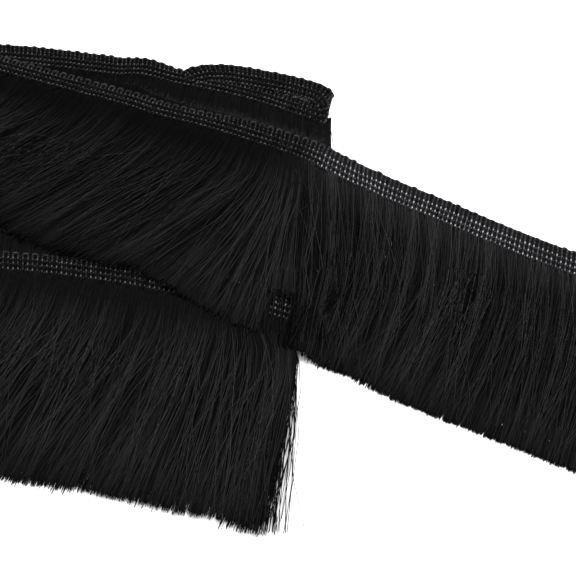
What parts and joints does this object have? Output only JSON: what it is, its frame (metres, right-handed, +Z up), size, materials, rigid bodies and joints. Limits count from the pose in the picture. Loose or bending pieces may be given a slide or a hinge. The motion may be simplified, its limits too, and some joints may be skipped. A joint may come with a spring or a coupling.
{
  "type": "tassel fringe trim",
  "caption": "Length of black brush fringe trim: a narrow knitted heading with a curtain of straight yarn, folded back and forth in a loose flat bundle with one free end.",
  "frame": {"origin": "middle of the bundle's box, on the surface that it lies on", "axes": "+X to the right, towards the free end; +Y to the back, from the strands' tips to the heading; +Z up"},
  "size_m": [0.3364, 0.2356, 0.0092],
  "materials": {
    "heading_yarn": "black knitted chain stitch rows, satin yarn",
    "fringe_yarn": "black straight filament yarn, soft sheen"
  },
  "bodies": {
    "root": {"heading": "heading_yarn", "fringe_front_lower": "fringe_yarn", "fringe_front_upper": "fringe_yarn", "fringe_back_lower": "fringe_yarn", "fringe_back_middle": "fringe_yarn", "fringe_back_upper": "fringe_yarn", "fringe_free_end": "fringe_yarn"}
  },
  "joints": []
}
